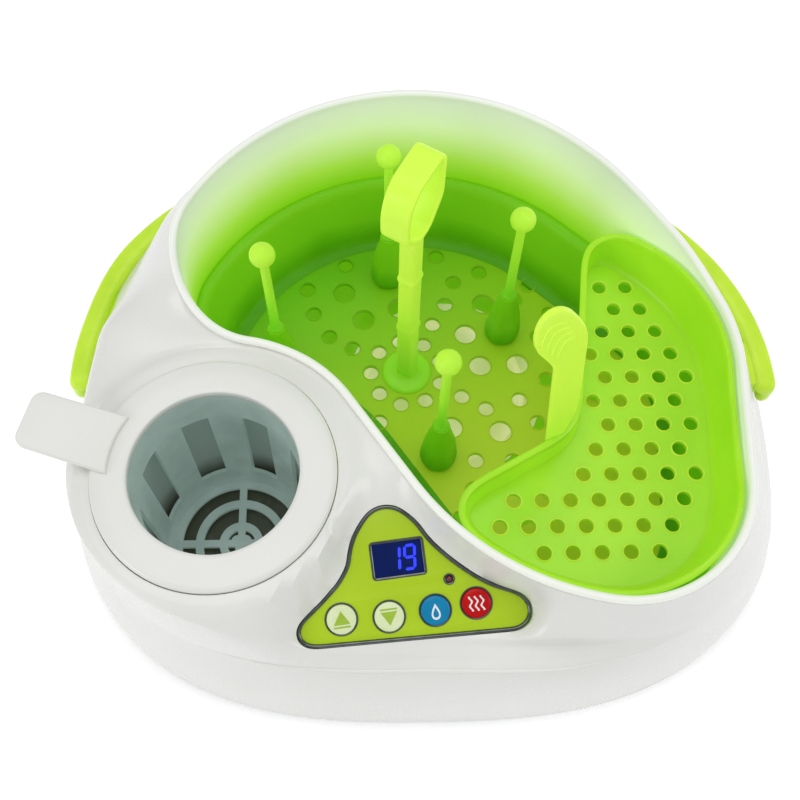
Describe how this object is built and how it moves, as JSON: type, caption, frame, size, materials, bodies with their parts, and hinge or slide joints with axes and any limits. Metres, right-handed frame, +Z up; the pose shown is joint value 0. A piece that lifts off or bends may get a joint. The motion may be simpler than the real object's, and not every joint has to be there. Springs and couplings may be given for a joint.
{
  "type": "bottle sterilizer",
  "caption": "White baby bottle steam sterilizer with a lift-out green bottle rack and accessory tray, side handles, a control panel and a lift-out bottle warmer cup.",
  "frame": {"origin": "centre of the base outline, on the table under the feet", "axes": "+Z up, +X to the right as seen from the control panel, +Y from the control panel to the back"},
  "size_m": [0.364, 0.2979, 0.2243],
  "materials": {
    "white": "glossy white moulding",
    "liner": "glossy white moulding, faintly translucent",
    "green": "glossy translucent green",
    "deep_green": "glossy translucent green",
    "panel_green": "glossy printed film",
    "smoke": "translucent grey green",
    "steel": "brushed",
    "screw_steel": "zinc plated",
    "bezel": "dark chrome plated",
    "rubber": "matt",
    "silicone": "matt translucent",
    "black": "matt black",
    "board": "solder mask",
    "element": "satin",
    "foil": "polyimide film",
    "relay": "satin",
    "yellow": "tape wound",
    "terminal": "satin",
    "display": "glossy tinted window",
    "led": "glossy red lens",
    "key_pale": "glossy",
    "key_blue": "glossy",
    "key_red": "glossy"
  },
  "bodies": {
    "base": {"outer_shell": "white", "chamber_liner": "liner", "base_plate": "white", "rubber_feet": "rubber", "base_screws": "screw_steel", "heater_plate": "steel", "heater_seal": "silicone", "heating_element": "element", "heater_clamp": "screw_steel", "heater_nuts": "screw_steel", "chamber_thermostat": "black", "warmer_pot": "steel", "warmer_heater": "foil", "warmer_sensor": "black", "panel_bezel": "bezel", "panel_face": "panel_green", "display_window": "display", "display_module": "black", "indicator_led": "led", "control_board": "board", "tact_switches": "black", "board_screws": "screw_steel", "power_board": "board", "power_relay": "relay", "power_transformer": "yellow", "terminal_block": "terminal", "cord_gland": "rubber", "handle_left": "green", "handle_right": "green", "handle_screws": "screw_steel"},
    "button_up": {"button_up": "key_pale"},
    "button_down": {"button_down": "key_pale"},
    "button_warm": {"button_warm": "key_blue"},
    "button_steam": {"button_steam": "key_red"},
    "warmer_basket": {"warmer_collar": "white", "warmer_cup": "smoke"},
    "steam_basket": {"bottle_rack": "deep_green", "lift_stem": "green", "peg_right": "green", "peg_back": "green", "peg_left": "green", "peg_front": "green"},
    "tray": {"accessory_tray": "green"}
  },
  "joints": [
    {"name": "button_up_press", "type": "slide", "parent": "base", "child": "button_up", "axis": [-0.0457, 0.3718, -0.9272], "range_m": [0, 0.0008], "stiffness_N_per_m": 1500},
    {"name": "button_down_press", "type": "slide", "parent": "base", "child": "button_down", "axis": [-0.0457, 0.3718, -0.9272], "range_m": [0, 0.0008], "stiffness_N_per_m": 1500},
    {"name": "button_warm_press", "type": "slide", "parent": "base", "child": "button_warm", "axis": [-0.0457, 0.3718, -0.9272], "range_m": [0, 0.0008], "stiffness_N_per_m": 1500},
    {"name": "button_steam_press", "type": "slide", "parent": "base", "child": "button_steam", "axis": [-0.0457, 0.3718, -0.9272], "range_m": [0, 0.0008], "stiffness_N_per_m": 1500},
    {"name": "warmer_lift", "type": "slide", "parent": "base", "child": "warmer_basket", "axis": [0, 0, 1], "range_m": [0, 0.11]},
    {"name": "rack_lift", "type": "slide", "parent": "base", "child": "steam_basket", "axis": [0, 0, 1], "range_m": [0, 0.115]},
    {"name": "tray_lift", "type": "slide", "parent": "steam_basket", "child": "tray", "axis": [0, 0, 1], "range_m": [0, 0.08]}
  ]
}
